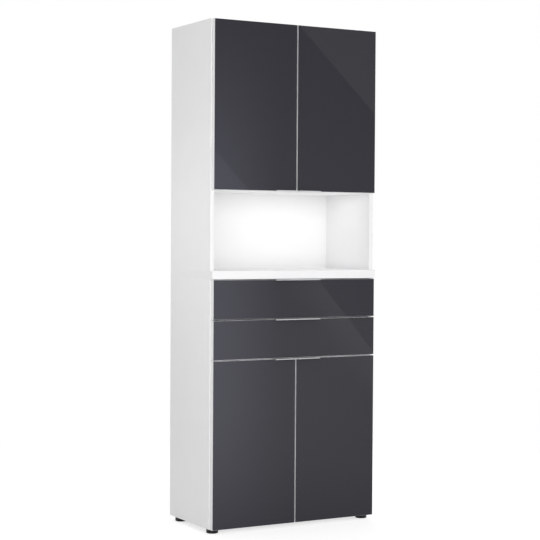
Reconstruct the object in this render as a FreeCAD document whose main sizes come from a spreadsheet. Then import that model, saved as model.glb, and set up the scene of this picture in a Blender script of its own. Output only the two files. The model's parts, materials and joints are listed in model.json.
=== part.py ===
import FreeCAD, Part
import os
import re

import Sketcher
from FreeCAD import Placement, Rotation, Vector

# Two-tier storage cabinet: a base with two drawers and two doors, a thick cover board on it,
# and an upper unit with an open niche below two doors. The fronts are lacquered glass on white
# carriers. Origin: middle of the overall box, on the floor. +X right, +Y back, +Z up.

# Every driving size of the cabinet, in millimetres
SIZES = (
    # Carcass
    ("cabinet_width", "800"),
    ("carcass_depth", "378"),
    ("panel_thick", "18"),
    ("base_side_height", "1041"),
    ("board_thick", "36"),
    ("upper_side_height", "1043"),
    ("niche_height", "331"),
    ("board_edge_radius", "1.5"),
    ("edge_band_radius", "0.8"),
    # Back panels in their grooves
    ("back_thick", "3.2"),
    ("back_recess", "14.3"),
    ("groove_depth", "6"),
    ("groove_play", "0.4"),
    # Fronts
    ("glass_thick", "4"),
    ("carrier_thick", "16"),
    ("front_gap", "2"),
    ("side_reveal", "5"),
    ("centre_gap", "4"),
    ("row_gap", "4"),
    ("board_gap", "3"),
    ("drawer_front_height", "164"),
    ("door_drop", "1"),
    ("ceiling_reveal", "5"),
    ("top_reveal", "2.5"),
    ("glass_chamfer", "0.6"),
    ("carrier_edge_break", "0.5"),
    # Grip profiles on the fronts
    ("handle_length", "218"),
    ("handle_reach", "20"),
    ("handle_leaf", "1.5"),
    ("handle_seat", "11"),
    ("handle_lip", "4.4"),
    ("handle_bead", "2.4"),
    ("handle_round", "1"),
    # Adjustable shelves and their pins
    ("shelf_side_play", "1"),
    ("shelf_front_recess", "14"),
    ("shelf_back_play", "6"),
    ("base_shelf_rise", "330"),
    ("upper_shelf_rise", "330"),
    ("pin_radius", "2.4"),
    ("pin_hole_radius", "2.5"),
    ("pin_hole_depth", "11"),
    ("pin_depth", "10"),
    ("pin_pad_length", "9"),
    ("pin_pad_width", "8"),
    ("pin_pad_thick", "2"),
    ("pin_lip_thick", "1"),
    ("pin_lip_drop", "6"),
    ("row_setback", "37"),
    ("row_spacing", "256"),
    # Glides under the base
    ("foot_radius", "25"),
    ("foot_height", "20"),
    ("foot_break", "3"),
    ("foot_side_inset", "31"),
    ("foot_front_inset", "30"),
    ("foot_rear_inset", "50"),
    # Drawer boxes
    ("box_side_thick", "12"),
    ("box_height", "110"),
    ("box_length", "340"),
    ("box_rise", "24"),
    ("box_bottom_thick", "4"),
    ("box_bottom_rise", "12"),
    ("box_groove_depth", "5"),
    ("box_groove_play", "0.2"),
    ("box_edge_radius", "1.5"),
    # Ball-bearing drawer slides
    ("runner_space", "12.8"),
    ("runner_sheet", "1.2"),
    ("runner_height", "45"),
    ("runner_length", "340"),
    ("runner_setback", "4"),
    ("runner_race", "2"),
    ("runner_rise", "40"),
    ("runner_lip", "1.6"),
    ("cage_play", "0.05"),
    ("cage_length", "90"),
    ("cage_width", "4"),
    ("cage_end", "30"),
    # Cup hinges: fixed arm and plate, one swinging link, and the cup in the door
    ("hinge_inset", "90"),
    ("cup_radius", "17.5"),
    ("cup_depth", "12.4"),
    ("cup_edge", "3"),
    ("cup_play", "0.1"),
    ("cup_pivot_inset", "8.8"),
    ("cup_pivot_sink", "0.8"),
    ("cup_well_play", "2.05"),
    ("cup_well_length", "23"),
    ("cup_well_depth", "9.5"),
    ("arm_pivot_rise", "13.2"),
    ("arm_pivot_setback", "2"),
    ("hinge_pin_radius", "1.1"),
    ("hinge_pin_play", "0.05"),
    ("link_eye_half", "1.95"),
    ("link_eye_break", "1.15"),
    ("link_sheet", "2"),
    ("link_half_width", "4.7"),
    ("cheek_gap", "0.3"),
    ("cheek_sheet", "1.5"),
    ("nose_half", "2.6"),
    ("nose_break", "1.6"),
    ("arm_rear", "60"),
    ("arm_floor", "4"),
    ("arm_shoulder", "18"),
    ("arm_mouth", "8"),
    ("flange_thick", "1.1"),
    ("flange_reach", "31"),
    ("flange_shoulder", "20"),
    ("flange_rim", "1.5"),
    ("flange_throat", "9"),
    ("flange_notch", "13.9"),
    ("flange_ear_inner", "3"),
    ("flange_ear_outer", "10"),
    ("plate_sheet", "2.6"),
    ("plate_wing", "25"),
    ("plate_width", "20"),
    ("plate_core_start", "20"),
    ("plate_core_end", "56"),
    ("plate_play", "0.2"),
)

# Sizes and places that follow from the driving ones
DERIVED = (
    ("front_stack", "=front_gap + carrier_thick + glass_thick"),
    ("carcass_front", "=(front_stack + handle_reach - carcass_depth) / 2"),
    ("glass_face", "=carcass_front - front_stack"),
    ("half_width", "=cabinet_width / 2"),
    ("inner_width", "=cabinet_width - 2 * panel_thick"),
    ("back_line", "=carcass_depth - back_recess - back_thick"),
    ("board_bottom", "=foot_height + base_side_height"),
    ("board_top", "=board_bottom + board_thick"),
    ("ceiling_bottom", "=board_top + niche_height"),
    ("cabinet_top", "=board_top + upper_side_height"),
    ("front_width", "=cabinet_width - 2 * side_reveal"),
    ("door_width", "=(front_width - centre_gap) / 2"),
    ("first_front", "=board_bottom - board_gap - drawer_front_height"),
    ("second_front", "=first_front - row_gap - drawer_front_height"),
    ("base_door_bottom", "=foot_height - door_drop"),
    ("base_door_height", "=second_front - row_gap - base_door_bottom"),
    ("upper_door_bottom", "=ceiling_bottom + ceiling_reveal"),
    ("upper_door_height", "=cabinet_top - top_reveal - upper_door_bottom"),
    ("divider_bottom", "=second_front - (row_gap + panel_thick) / 2"),
    ("base_shelf_bottom", "=foot_height + panel_thick + base_shelf_rise"),
    ("upper_shelf_bottom", "=ceiling_bottom + panel_thick + upper_shelf_rise"),
    ("door_handle_length", "=(handle_length - centre_gap) / 2"),
    ("box_width", "=inner_width - 2 * runner_space"),
    ("door_edge", "=side_reveal - panel_thick"),
    ("cup_centre", "=door_edge + cup_edge + cup_radius"),
    ("cup_pivot_place", "=door_edge + cup_pivot_inset"),
    ("cup_pivot_level", "=-front_gap - cup_pivot_sink"),
    ("cheek_inner", "=link_half_width + cheek_gap"),
    ("cheek_outer", "=cheek_inner + cheek_sheet"),
    ("link_length", "=sqrt((arm_pivot_rise - cup_pivot_place)^2 + (arm_pivot_setback - cup_pivot_level)^2)"),
)

# Coordinates closer than this are taken as equal
NEAR = 0.001

DOC = FreeCAD.newDocument("storage_cabinet")
SHEET = DOC.addObject("Spreadsheet::Sheet", "sizes")
NODES = []


def fill_sheet():
    """Write the named sizes, driving ones first, into the sheet."""
    for row, (alias, content) in enumerate(SIZES + DERIVED, start=1):
        SHEET.set(f"A{row}", alias)
        SHEET.set(f"B{row}", content)
        SHEET.setAlias(f"B{row}", alias)
    DOC.recompute()


def linked(text):
    """Expression of named sizes, with each name pointing at the sheet."""
    return re.sub(r"[a-z][a-z_]*", lambda word: "sizes." + word.group(), text)


def value(text):
    """Present value of an expression of named sizes, in mm."""
    return float(SHEET.evalExpression(linked(text)))


def new_body(name):
    """Empty body that becomes one piece of the cabinet."""
    body = DOC.addObject("PartDesign::Body", name)
    body.Label = name
    return body


def place(piece, x_text, y_text, z_text):
    """Bind the place of a piece to named sizes."""
    for axis, text in zip("xyz", (x_text, y_text, z_text)):
        piece.setExpression(f"Placement.Base.{axis}", linked(text))


def keep(piece):
    """List a finished piece as a node of its own."""
    NODES.append(piece)
    return piece


# Sketches and features


def new_sketch(body, plane, offset="0"):
    """Sketch on one of the body's origin planes, moved along that plane's normal."""
    sketch = body.newObject("Sketcher::SketchObject", body.Name + "_sketch")
    support = next(item for item in body.Origin.OriginFeatures if item.Role == plane)
    sketch.AttachmentSupport = [(support, "")]
    sketch.MapMode = "FlatFace"
    sketch.setExpression("AttachmentOffset.Base.z", linked(offset))
    return sketch


def pin_point(sketch, geometry, point, x_text, y_text):
    """Tie one point of a sketch to the sketch's origin by named sizes."""
    for kind, text in (("DistanceX", x_text), ("DistanceY", y_text)):
        rule = Sketcher.Constraint(kind, -1, 1, geometry, point, value(text))
        index = sketch.addConstraint(rule)
        sketch.setExpression(f"Constraints[{index}]", linked(text))


def draw_outline(sketch, corners):
    """Closed outline of straight lines through corners given as pairs of size expressions."""
    spots = [Vector(value(x_text), value(y_text), 0) for x_text, y_text in corners]
    first = sketch.GeometryCount
    count = len(spots)
    for index in range(count):
        line = Part.LineSegment(spots[index], spots[(index + 1) % count])
        sketch.addGeometry(line)
    for index in range(count):
        following = first + (index + 1) % count
        sketch.addConstraint(Sketcher.Constraint("Coincident", first + index, 2, following, 1))
    for index, (x_text, y_text) in enumerate(corners):
        pin_point(sketch, first + index, 1, x_text, y_text)


def draw_rectangle(sketch, x_low, y_low, x_high, y_high):
    """Closed rectangle between two opposite corners."""
    corners = ((x_low, y_low), (x_high, y_low), (x_high, y_high), (x_low, y_high))
    draw_outline(sketch, corners)


def draw_circle(sketch, x_text, y_text, radius):
    """Circle with its centre and radius tied to named sizes."""
    centre = Vector(value(x_text), value(y_text), 0)
    index = sketch.addGeometry(Part.Circle(centre, Vector(0, 0, 1), value(radius)))
    pin_point(sketch, index, 3, x_text, y_text)
    rule = sketch.addConstraint(Sketcher.Constraint("Radius", index, value(radius)))
    sketch.setExpression(f"Constraints[{rule}]", linked(radius))


def pad(body, sketch, length, backwards=False):
    """Raise a sketch into solid material."""
    feature = body.newObject("PartDesign::Pad", body.Name + "_pad")
    feature.Profile = sketch
    feature.setExpression("Length", linked(length))
    feature.Reversed = backwards
    DOC.recompute()
    return feature


def pocket(body, sketch, depth, backwards=False):
    """Cut a sketch out of the body and make sure that it removes material."""
    before = body.Shape.Volume
    feature = body.newObject("PartDesign::Pocket", body.Name + "_pocket")
    feature.Profile = sketch
    feature.setExpression("Length", linked(depth))
    feature.Reversed = backwards
    DOC.recompute()
    if not body.Shape.Volume < before:
        raise RuntimeError(f"{feature.Name} removes nothing")
    return feature


def edges_where(body, test):
    """Names of the straight edges of a body whose box passes a test."""
    names = []
    for number, edge in enumerate(body.Shape.Edges, start=1):
        if test(edge.BoundBox):
            names.append(f"Edge{number}")
    return names


def dress_edges(body, kind, names, size_property, size_text):
    """Round or chamfer the named edges of a body."""
    base = body.Tip
    feature = body.newObject(kind, body.Name + "_edges")
    feature.Base = (base, names)
    feature.setExpression(size_property, linked(size_text))
    DOC.recompute()
    return feature


def near(first, second):
    """Whether two coordinates agree."""
    return abs(first - second) < NEAR


def block(name, width, depth, height):
    """Board with its lowest corner at the body's origin."""
    body = new_body(name)
    sketch = new_sketch(body, "XY_Plane")
    draw_rectangle(sketch, "0", "0", width, depth)
    pad(body, sketch, height)
    return body


def round_front_edges(body, radius):
    """Round the two upright edges at the front of a board."""
    def upright_at_front(box):
        return box.ZLength > box.XLength + box.YLength and near(box.YMin, 0) and near(box.YMax, 0)
    dress_edges(body, "PartDesign::Fillet", edges_where(body, upright_at_front), "Radius", radius)


def round_level_front_edges(body, radius):
    """Round the two level edges along the front of a board."""
    def level_at_front(box):
        return box.XLength > box.YLength + box.ZLength and near(box.YMin, 0) and near(box.YMax, 0)
    dress_edges(body, "PartDesign::Fillet", edges_where(body, level_at_front), "Radius", radius)


# Carcass panels


def shelf_pin_holes(body, inner_face, level, outwards):
    """Two blind holes for the shelf pins in a side's inner face."""
    sketch = new_sketch(body, "YZ_Plane", inner_face)
    for setback in ("row_setback", "row_setback + row_spacing"):
        draw_circle(sketch, setback, level, "pin_hole_radius")
    pocket(body, sketch, "pin_hole_depth", outwards)


def side_panel(tier, hand, height, level, shelf_bottom):
    """Upright side with the groove for the back panel and the holes for the shelf pins."""
    body = block(f"{tier}_side_{hand}", "panel_thick", "carcass_depth", height)
    right = hand == "right"
    inner_face = "0" if right else "panel_thick"
    groove_end = "groove_depth" if right else "panel_thick - groove_depth"
    sketch = new_sketch(body, "XY_Plane")
    draw_rectangle(sketch, inner_face, "back_line", groove_end, "back_line + back_thick + groove_play")
    pocket(body, sketch, height, True)
    shelf_pin_holes(body, inner_face, f"{shelf_bottom} - pin_radius - {level}", right)
    round_front_edges(body, "edge_band_radius")
    left_edge = "half_width - panel_thick" if right else "-half_width"
    place(body, left_edge, "carcass_front", level)
    return keep(body)


def grooved_panel(name, level, groove_on_top):
    """Level panel between the sides, as deep as they are, with the back's groove in one face."""
    body = block(name, "inner_width", "carcass_depth", "panel_thick")
    sketch = new_sketch(body, "XY_Plane", "panel_thick" if groove_on_top else "0")
    draw_rectangle(sketch, "0", "back_line", "inner_width", "back_line + back_thick + groove_play")
    pocket(body, sketch, "groove_depth", not groove_on_top)
    round_level_front_edges(body, "edge_band_radius")
    place(body, "-half_width + panel_thick", "carcass_front", level)
    return body


def fixed_panel(name, level):
    """Fixed level panel between the sides that ends at the back panel."""
    body = block(name, "inner_width", "back_line", "panel_thick")
    round_level_front_edges(body, "edge_band_radius")
    place(body, "-half_width + panel_thick", "carcass_front", level)
    return keep(body)


def back_panel(name, bottom, top):
    """Thin back held in the grooves of the sides."""
    width = "inner_width + 2 * (groove_depth - groove_play)"
    body = block(name, width, "back_thick", f"{top} - ({bottom})")
    left_edge = "-half_width + panel_thick - groove_depth + groove_play"
    place(body, left_edge, "carcass_front + back_line", bottom)
    return keep(body)


def cover_board():
    """Thick board over the base, flush with the glass, that the upper unit stands on."""
    body = block("cover_board", "cabinet_width", "carcass_depth + front_stack", "board_thick")
    round_level_front_edges(body, "board_edge_radius")
    place(body, "-half_width", "glass_face", "board_bottom")
    return keep(body)


def adjustable_shelf(name, level):
    """Loose shelf that lies on four pins."""
    width = "inner_width - 2 * shelf_side_play"
    depth = "back_line - shelf_front_recess - shelf_back_play"
    body = block(name, width, depth, "panel_thick")
    round_level_front_edges(body, "edge_band_radius")
    left_edge = "-half_width + panel_thick + shelf_side_play"
    place(body, left_edge, "carcass_front + shelf_front_recess", level)
    return keep(body)


def inner_side(hand):
    """Turn about the depth axis and place across of fittings on a side's inner face."""
    if hand == "left":
        return 0, "-inner_width / 2"
    return 180, "inner_width / 2"


def copies(name, template, places):
    """Group of equal pieces as one node, each a link to the template at its own place."""
    links = []
    for number, (spin, x_text, y_text, z_text) in enumerate(places, start=1):
        link = DOC.addObject("App::Link", f"{name}_{number}")
        link.setLink(template)
        link.LinkTransform = True
        link.Placement = Placement(Vector(0, 0, 0), Rotation(Vector(0, 1, 0), spin))
        place(link, x_text, y_text, z_text)
        links.append(link)
    group = DOC.addObject("Part::Compound", name)
    group.Label = name
    group.Links = links
    return keep(group)


def shelf_pins():
    """Eight pins, four under each adjustable shelf, each with a pad and a lip outside its hole."""
    template = new_body("shelf_pin")
    stem = new_sketch(template, "YZ_Plane", "-pin_depth")
    draw_circle(stem, "0", "0", "pin_radius")
    pad(template, stem, "pin_depth")
    lip = new_sketch(template, "YZ_Plane")
    draw_rectangle(lip, "-pin_pad_width / 2", "-pin_lip_drop", "pin_pad_width / 2", "pin_radius")
    pad(template, lip, "pin_lip_thick")
    rest = new_sketch(template, "YZ_Plane")
    draw_rectangle(rest, "-pin_pad_width / 2", "pin_radius - pin_pad_thick", "pin_pad_width / 2", "pin_radius")
    pad(template, rest, "pin_pad_length")
    places = []
    for shelf_bottom in ("base_shelf_bottom", "upper_shelf_bottom"):
        for hand in ("left", "right"):
            spin, face = inner_side(hand)
            for setback in ("row_setback", "row_setback + row_spacing"):
                level = f"{shelf_bottom} - pin_radius"
                places.append((spin, face, f"carcass_front + {setback}", level))
    return copies("shelf_pins", template, places)


def feet():
    """Four turned plastic glides under the bottom, one near each corner."""
    template = new_body("foot")
    outline = new_sketch(template, "XZ_Plane")
    draw_outline(outline, (
        ("0", "0"),
        ("foot_radius - foot_break", "0"),
        ("foot_radius", "foot_break"),
        ("foot_radius", "foot_height"),
        ("0", "foot_height"),
    ))
    turn = template.newObject("PartDesign::Revolution", "foot_turn")
    turn.Profile = outline
    turn.ReferenceAxis = (outline, ["V_Axis"])
    turn.Angle = 360
    DOC.recompute()
    places = []
    for depth in ("carcass_front + foot_front_inset", "carcass_front + carcass_depth - foot_rear_inset"):
        for side in ("-half_width + foot_side_inset", "half_width - foot_side_inset"):
            places.append((0, side, depth, "0"))
    return copies("feet", template, places)


# Fronts


def glass_pane(name, width, height, level, left_edge):
    """Lacquered glass pane with ground front edges."""
    body = block(name, width, "glass_thick", height)
    def on_face(box):
        return near(box.YMin, 0) and near(box.YMax, 0)
    dress_edges(body, "PartDesign::Chamfer", edges_where(body, on_face), "Size", "glass_chamfer")
    place(body, left_edge, "glass_face", level)
    return keep(body)


def carrier(name, width, height, level, left_edge):
    """White board behind the glass, with its edges broken towards the carcass."""
    body = block(name, width, "carrier_thick", height)
    back = value("carrier_thick")
    def on_back(box):
        return near(box.YMin, back) and near(box.YMax, back)
    dress_edges(body, "PartDesign::Chamfer", edges_where(body, on_back), "Size", "carrier_edge_break")
    place(body, left_edge, "glass_face + glass_thick", level)
    return body


def grip_profile(name, length, left_edge, level, lip_up):
    """Aluminium grip: a leaf on the front's edge that reaches forward and ends in a rounded lip."""
    body = new_body(name)
    way = "-" if lip_up else ""
    sketch = new_sketch(body, "YZ_Plane")
    draw_outline(sketch, (
        ("handle_reach + handle_seat", "0"),
        ("handle_reach + handle_seat", f"{way}handle_leaf"),
        ("0", f"{way}handle_leaf"),
        ("0", f"{way}(handle_leaf - handle_lip)"),
        ("handle_bead", f"{way}(handle_leaf - handle_lip)"),
        ("handle_bead", "0"),
    ))
    pad(body, sketch, length)

    def along_lip(box):
        return box.XLength > box.YLength + box.ZLength and near(box.YMin, 0) and near(box.YMax, 0)
    dress_edges(body, "PartDesign::Fillet", edges_where(body, along_lip), "Radius", "handle_round")
    place(body, left_edge, "glass_face - handle_reach", level)
    return keep(body)


# Drawers


def drawer(number, front_bottom):
    """Front, grip, box and the moving slide members of one drawer."""
    name = f"drawer_{number}"
    left_edge = "-half_width + side_reveal"
    glass_pane(f"{name}_glass", "front_width", "drawer_front_height", front_bottom, left_edge)
    keep(carrier(f"{name}_carrier", "front_width", "drawer_front_height", front_bottom, left_edge))
    top = f"{front_bottom} + drawer_front_height"
    grip_profile(f"{name}_handle", "handle_length", "-handle_length / 2", top, False)
    box_bottom = f"{front_bottom} + box_rise"
    for hand in ("left", "right"):
        box_side(f"{name}_side_{hand}", hand, box_bottom)
    box_back(f"{name}_back", box_bottom)
    box_floor(f"{name}_bottom", box_bottom)
    slide_members(name, front_bottom)


def box_side(name, hand, level):
    """Drawer side with the groove for the drawer bottom and rounded top edges."""
    body = block(name, "box_side_thick", "box_length", "box_height")
    right = hand == "right"
    inner_face = "0" if right else "box_side_thick"
    groove_end = "box_groove_depth" if right else "box_side_thick - box_groove_depth"
    sketch = new_sketch(body, "XZ_Plane")
    groove_top = "box_bottom_rise + box_bottom_thick + box_groove_play"
    draw_rectangle(sketch, inner_face, "box_bottom_rise", groove_end, groove_top)
    pocket(body, sketch, "box_length")
    top = value("box_height")
    def along_top(box):
        return near(box.ZMin, top) and near(box.ZMax, top) and box.YLength > box.XLength
    dress_edges(body, "PartDesign::Fillet", edges_where(body, along_top), "Radius", "box_edge_radius")
    edge = "box_width / 2 - box_side_thick" if right else "-box_width / 2"
    place(body, edge, "carcass_front - front_gap", level)
    return keep(body)


def box_back(name, level):
    """Drawer back between the sides, standing on the bottom."""
    width = "box_width - 2 * box_side_thick"
    rise = "box_bottom_rise + box_bottom_thick"
    body = block(name, width, "box_side_thick", f"box_height - ({rise})")
    rear = "carcass_front - front_gap + box_length - box_side_thick"
    place(body, "-box_width / 2 + box_side_thick", rear, f"{level} + {rise}")
    return keep(body)


def box_floor(name, level):
    """Drawer bottom, slid into the grooves of the sides up to the front."""
    reach = "box_groove_depth - box_groove_play"
    width = f"box_width - 2 * box_side_thick + 2 * ({reach})"
    body = block(name, width, "box_length", "box_bottom_thick")
    edge = f"-box_width / 2 + box_side_thick - ({reach})"
    place(body, edge, "carcass_front - front_gap", f"{level} + box_bottom_rise")
    return keep(body)


# Drawer slides: each is a fixed rail, a middle member and a drawer member, all C sections


def channel(name, web_low, web_high, half_height, tip):
    """C section along the depth: a web, and two flanges that reach to the tip."""
    body = new_body(name)
    sketch = new_sketch(body, "XZ_Plane")
    draw_outline(sketch, (
        (web_low, f"-({half_height})"),
        (tip, f"-({half_height})"),
        (tip, f"-({half_height}) + runner_sheet"),
        (web_high, f"-({half_height}) + runner_sheet"),
        (web_high, f"{half_height} - runner_sheet"),
        (tip, f"{half_height} - runner_sheet"),
        (tip, half_height),
        (web_low, half_height),
    ))
    pad(body, sketch, "runner_length", True)
    return body


def slide_rails():
    """Four fixed rails on the base's sides, one pair for each drawer."""
    template = channel("slide_rail", "0", "runner_sheet", "runner_height / 2", "runner_space - runner_lip")
    places = []
    for front_bottom in ("first_front", "second_front"):
        places += slide_pair(front_bottom)
    return copies("slide_rails", template, places)


def slide_pair(front_bottom):
    """Places of the left and right slide of one drawer, from the sides' inner faces."""
    depth = "carcass_front + runner_setback"
    level = f"{front_bottom} + box_rise + runner_rise"
    return [(*inner_side(hand), depth, level) for hand in ("left", "right")]


def slide_members(name, front_bottom):
    """Middle members with their ball cages, and drawer members, of one drawer."""
    middle_half = "runner_height / 2 - runner_sheet - runner_race"
    inner_half = "runner_height / 2 - 2 * (runner_sheet + runner_race)"
    web = "runner_sheet + runner_race"
    middle = channel(f"{name}_middle", web, f"{web} + runner_sheet", middle_half, "runner_space - runner_lip")
    cage_low = f"{web} + runner_sheet + cage_play"
    cages = new_body(f"{name}_cage")
    sketch = new_sketch(cages, "XZ_Plane", "-cage_end")
    for level in (middle_half, inner_half):
        for side in ("", "-"):
            draw_rectangle(sketch, cage_low, f"{side}({level} + cage_play)",
                           f"{cage_low} + cage_width", f"{side}({level} + runner_race - cage_play)")
    pad(cages, sketch, "cage_length", True)
    drawer_member = channel(f"{name}_member", "runner_space", "runner_space - runner_sheet",
                            inner_half, f"{web} + 2 * runner_sheet")
    pair = slide_pair(front_bottom)
    copies(f"{name}_slide_middles", middle, pair)
    copies(f"{name}_slide_cages", cages, pair)
    copies(f"{name}_slide_members", drawer_member, pair)


# Cup hinges, drawn from the side's inner face, the carcass's front and the hinge's middle height


def add_pin(body, x_text, y_text):
    """Upright pin through both cheeks of a hinge piece."""
    sketch = new_sketch(body, "XY_Plane", "-cheek_outer")
    draw_circle(sketch, x_text, y_text, "hinge_pin_radius")
    pad(body, sketch, "2 * cheek_outer")


def hinge_arm():
    """Bent steel arm: a channel over the plate whose two cheeks hold the link's fixed pin."""
    body = new_body("hinge_arm")
    top = "arm_pivot_rise + nose_half"
    cheeks = new_sketch(body, "XY_Plane", "-cheek_outer")
    nose_front = "arm_pivot_setback - nose_half"
    draw_outline(cheeks, (
        ("arm_pivot_rise - nose_half", f"{nose_front} + nose_break"),
        ("arm_pivot_rise - nose_half + nose_break", nose_front),
        (f"{top} - nose_break", nose_front),
        (top, f"{nose_front} + nose_break"),
        (top, "arm_rear"),
        ("arm_floor", "arm_rear"),
        ("arm_floor", "arm_shoulder"),
    ))
    pad(body, cheeks, "2 * cheek_outer")
    inside = new_sketch(body, "XY_Plane", "-cheek_inner")
    draw_outline(inside, (
        ("0", "arm_pivot_setback - 2 * nose_half"),
        (f"{top} + nose_half", "arm_pivot_setback - 2 * nose_half"),
        (f"{top} + nose_half", "arm_mouth"),
        (f"{top} - cheek_sheet", "arm_mouth"),
        (f"{top} - cheek_sheet", "arm_rear + cheek_sheet"),
        ("0", "arm_rear + cheek_sheet"),
    ))
    pocket(body, inside, "2 * cheek_inner", True)
    add_pin(body, "arm_pivot_rise", "arm_pivot_setback")
    return body


def hinge_plate():
    """Mounting plate: a winged foot on the side, and a core that the arm hooks over."""
    body = new_body("hinge_plate")
    wings = new_sketch(body, "YZ_Plane")
    draw_rectangle(wings, "row_setback - plate_width / 2", "-plate_wing",
                   "row_setback + plate_width / 2", "plate_wing")
    pad(body, wings, "plate_sheet")
    core = new_sketch(body, "YZ_Plane")
    draw_rectangle(core, "plate_core_start", "-(cheek_inner - plate_play)",
                   "plate_core_end", "cheek_inner - plate_play")
    pad(body, core, "arm_pivot_rise + nose_half - cheek_sheet - plate_play")
    return body


def hinge_link():
    """Link with an eye for the arm's pin, at the origin, and one for the cup's pin along X."""
    body = new_body("hinge_link")
    short = "link_eye_half - link_eye_break"
    lower = (
        ("-link_eye_half", f"-({short})"),
        (f"-({short})", "-link_eye_half"),
        (short, "-link_eye_half"),
        ("link_eye_half", "-link_sheet / 2"),
        ("link_length - link_eye_half", "-link_sheet / 2"),
        (f"link_length - ({short})", "-link_eye_half"),
        (f"link_length + {short}", "-link_eye_half"),
        ("link_length + link_eye_half", f"-({short})"),
    )
    upper = tuple((x_text, f"-({y_text})") for x_text, y_text in reversed(lower))
    outline = new_sketch(body, "XY_Plane", "-link_half_width")
    draw_outline(outline, lower + upper)
    for end in ("0", "link_length"):
        draw_circle(outline, end, "0", "hinge_pin_radius + hinge_pin_play")
    pad(body, outline, "2 * link_half_width")
    reach = Vector(value("cup_pivot_place - arm_pivot_rise"), value("cup_pivot_level - arm_pivot_setback"), 0)
    body.Placement = Placement(Vector(0, 0, 0), Rotation(Vector(1, 0, 0), reach))
    place(body, "arm_pivot_rise", "arm_pivot_setback", "0")
    return body


def hinge_cup():
    """Cast cup with a screw flange, and a well across which the link's moving pin lies."""
    body = new_body("hinge_cup")
    shell = new_sketch(body, "XZ_Plane", "front_gap")
    draw_circle(shell, "cup_centre", "0", "cup_radius")
    pad(body, shell, "cup_depth")
    flange = new_sketch(body, "XZ_Plane", "front_gap - flange_thick")
    notch = "cup_centre - flange_notch"
    ear_low = "cup_centre - flange_ear_inner"
    ear_high = "cup_centre + flange_ear_outer"
    rim = "cup_centre + cup_radius + flange_rim"
    draw_outline(flange, (
        (notch, "-flange_throat"),
        (ear_low, "-flange_shoulder"),
        (ear_low, "-flange_reach"),
        (ear_high, "-flange_reach"),
        (ear_high, "-flange_shoulder"),
        (rim, "-cup_radius / 2"),
        (rim, "cup_radius / 2"),
        (ear_high, "flange_shoulder"),
        (ear_high, "flange_reach"),
        (ear_low, "flange_reach"),
        (ear_low, "flange_shoulder"),
        (notch, "flange_throat"),
    ))
    pad(body, flange, "flange_thick")
    well = new_sketch(body, "XZ_Plane", "front_gap - flange_thick")
    well_start = "cup_pivot_place - link_eye_half - cup_well_play"
    draw_rectangle(well, well_start, "-cheek_inner", f"{well_start} + cup_well_length", "cheek_inner")
    pocket(body, well, "cup_well_depth", True)
    add_pin(body, "cup_pivot_place", "cup_pivot_level")
    return body


def hinge_pair(hand, bottom, height):
    """Places of the two hinges of one door."""
    levels = (f"{bottom} + hinge_inset", f"{bottom} + {height} - hinge_inset")
    return [(*inner_side(hand), "carcass_front", level) for level in levels]


def door(tier, hand, bottom, height, cup, link):
    """Glass, carrier with its cup bores, grip, cups and links of one door."""
    name = f"{tier}_door_{hand}"
    left = hand == "left"
    left_edge = "-half_width + side_reveal" if left else "centre_gap / 2"
    glass_pane(f"{name}_glass", "door_width", height, bottom, left_edge)
    board = carrier(f"{name}_carrier", "door_width", height, bottom, left_edge)
    bores = new_sketch(board, "XZ_Plane", "-carrier_thick")
    inset = "cup_edge + cup_radius"
    for level in ("hinge_inset", f"{height} - hinge_inset"):
        draw_circle(bores, inset if left else f"door_width - ({inset})", level, "cup_radius + cup_play")
    pocket(board, bores, "cup_depth + cup_play", True)
    keep(board)
    grip_edge = "-centre_gap / 2 - door_handle_length" if left else "centre_gap / 2"
    lip_up = tier == "upper"
    grip_level = bottom if lip_up else f"{bottom} + {height}"
    grip_profile(f"{name}_handle", "door_handle_length", grip_edge, grip_level, lip_up)
    pair = hinge_pair(hand, bottom, height)
    copies(f"{name}_cups", cup, pair)
    copies(f"{name}_links", link, pair)
    return pair


def doors_with_hinges():
    """The four doors, then the arms and plates that hold them on the sides."""
    cup = hinge_cup()
    link = hinge_link()
    places = []
    for hand in ("left", "right"):
        places += door("base", hand, "base_door_bottom", "base_door_height", cup, link)
        places += door("upper", hand, "upper_door_bottom", "upper_door_height", cup, link)
    copies("hinge_arms", hinge_arm(), places)
    copies("hinge_plates", hinge_plate(), places)


def build():
    """Make every piece, from the floor up."""
    fill_sheet()
    feet()
    keep(grooved_panel("base_bottom", "foot_height", True))
    for hand in ("left", "right"):
        side_panel("base", hand, "base_side_height", "foot_height", "base_shelf_bottom")
    fixed_panel("base_divider", "divider_bottom")
    back_panel("base_back", "foot_height + panel_thick - groove_depth + groove_play", "board_bottom")
    adjustable_shelf("base_shelf", "base_shelf_bottom")
    cover_board()
    for hand in ("left", "right"):
        side_panel("upper", hand, "upper_side_height", "board_top", "upper_shelf_bottom")
    fixed_panel("niche_ceiling", "ceiling_bottom")
    keep(grooved_panel("upper_top", "cabinet_top - panel_thick", False))
    back_panel("upper_back", "board_top", "cabinet_top - panel_thick + groove_depth - groove_play")
    adjustable_shelf("upper_shelf", "upper_shelf_bottom")
    shelf_pins()
    slide_rails()
    drawer(1, "first_front")
    drawer(2, "second_front")
    doors_with_hinges()


def write_nodes():
    """Check every object and write each node to a file of its own."""
    DOC.recompute()
    for item in DOC.Objects:
        if "Invalid" in item.State or "Error" in item.State:
            raise RuntimeError(f"{item.Name} failed: {item.State}")
    os.makedirs("parts", exist_ok=True)
    for node in NODES:
        if node.Shape.isNull() or not node.Shape.isValid():
            raise RuntimeError(f"{node.Label} has no valid shape")
        node.Shape.exportStep(f"parts/{node.Label}.step")


build()
write_nodes()
print(len(NODES), "nodes written")
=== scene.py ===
"""Looks of a tall storage cabinet with lacquered glass fronts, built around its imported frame."""

import json
import logging
import math
from dataclasses import dataclass, field
from enum import Enum
from typing import Callable

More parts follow.
